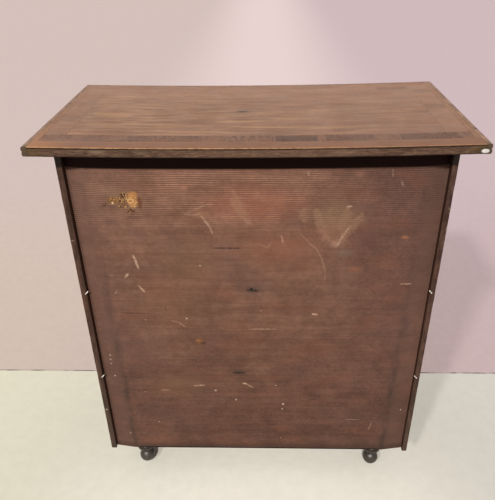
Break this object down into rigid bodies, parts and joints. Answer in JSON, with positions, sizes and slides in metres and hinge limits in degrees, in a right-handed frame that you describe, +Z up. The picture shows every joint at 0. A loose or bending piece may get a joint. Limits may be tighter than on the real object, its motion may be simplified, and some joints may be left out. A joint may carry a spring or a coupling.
{
  "type": "side cabinet",
  "caption": "Side cabinet with a crossbanded overhanging top, frieze drawer over a pair of lockable panelled doors, inner shelves, fielded back boards and turned ball feet.",
  "frame": {"origin": "on the floor under the middle of the top", "axes": "+Z up; the front with the doors faces -Y, the back faces +Y; +X is to the right seen from the front"},
  "size_m": [0.814, 0.428, 0.9223],
  "materials": {
    "figured_veneer": "waxed walnut veneer",
    "dark_veneer": "waxed dark crossbanding",
    "border_veneer": "waxed lighter border",
    "raw_core": "raw dusty board edge",
    "stained_side": "dark stained, worn",
    "back_wood": "unpolished, stained and scratched",
    "inner_wood": "unfinished oak or deal",
    "front_wood": "waxed walnut",
    "turned_wood": "ebonised, glossy",
    "brass": "aged brass",
    "steel": "worn steel",
    "iron": "rusty iron"
  },
  "bodies": {
    "carcass": {"top_board": "raw_core", "top_border_veneer": "border_veneer", "top_crossband": "dark_veneer", "top_field_veneer": "figured_veneer", "top_moulding_front": "border_veneer", "top_moulding_left": "border_veneer", "top_moulding_right": "border_veneer", "side_panel_left": "stained_side", "side_panel_right": "stained_side", "base_rail": "front_wood", "top_rail_front": "front_wood", "top_rail_rear": "inner_wood", "bottom_board": "inner_wood", "lower_shelf": "inner_wood", "upper_shelf": "inner_wood", "dust_board": "inner_wood", "back_board_lower": "back_wood", "back_board_middle": "back_wood", "back_board_upper": "back_wood", "nail_lower_shelf": "iron", "nail_upper_shelf": "iron", "foot_front_left": "turned_wood", "foot_front_right": "turned_wood", "foot_rear_left": "turned_wood", "foot_rear_right": "turned_wood", "hinge_left_lower_frame_leaf": "brass", "hinge_left_upper_frame_leaf": "brass", "hinge_right_lower_frame_leaf": "brass", "hinge_right_upper_frame_leaf": "brass"},
    "drawer": {"drawer_front": "front_wood", "drawer_side_left": "inner_wood", "drawer_side_right": "inner_wood", "drawer_back": "inner_wood", "drawer_bottom": "inner_wood", "drawer_knob_left": "brass", "drawer_knob_right": "brass"},
    "left_door": {"left_door_hinge_stile": "front_wood", "left_door_meeting_stile": "front_wood", "left_door_top_rail": "front_wood", "left_door_bottom_rail": "front_wood", "left_door_panel": "figured_veneer", "hinge_left_lower_door_leaf": "brass", "hinge_left_upper_door_leaf": "brass", "upper_bolt_plate": "brass", "lower_bolt_plate": "brass"},
    "right_door": {"right_door_hinge_stile": "front_wood", "right_door_meeting_stile": "front_wood", "right_door_top_rail": "front_wood", "right_door_bottom_rail": "front_wood", "right_door_panel": "figured_veneer", "hinge_right_lower_door_leaf": "brass", "hinge_right_upper_door_leaf": "brass", "lock_case": "brass", "escutcheon": "brass"},
    "lock_bolt": {"lock_bolt": "brass"},
    "key": {"key": "steel"},
    "upper_bolt": {"upper_bolt": "brass"},
    "lower_bolt": {"lower_bolt": "brass"}
  },
  "joints": [
    {"name": "drawer_slide", "type": "slide", "parent": "carcass", "child": "drawer", "axis": [0, -1, 0], "range_m": [0, 0.24]},
    {"name": "left_door_hinge", "type": "hinge", "parent": "carcass", "child": "left_door", "pos_m": [-0.349, -0.1815, 0.48055], "axis": [0, 0, -1], "range_deg": [0, 175]},
    {"name": "right_door_hinge", "type": "hinge", "parent": "carcass", "child": "right_door", "pos_m": [0.349, -0.1815, 0.48055], "axis": [0, 0, 1], "range_deg": [0, 175]},
    {"name": "key_turn", "type": "hinge", "parent": "right_door", "child": "key", "pos_m": [0.02175, -0.1793, 0.47455], "axis": [0, -1, 0], "range_deg": [0, 180]},
    {"name": "lock_bolt_slide", "type": "slide", "parent": "right_door", "child": "lock_bolt", "axis": [-1, 0, 0], "range_m": [0, 0.008]},
    {"name": "upper_bolt_slide", "type": "slide", "parent": "left_door", "child": "upper_bolt", "axis": [0, 0, 1], "range_m": [0, 0.01]},
    {"name": "lower_bolt_slide", "type": "slide", "parent": "left_door", "child": "lower_bolt", "axis": [0, 0, -1], "range_m": [0, 0.01]}
  ],
  "couplings": [
    {"joint": "lock_bolt_slide", "follows": "key_turn", "m_per_rad": 0.002546}
  ]
}
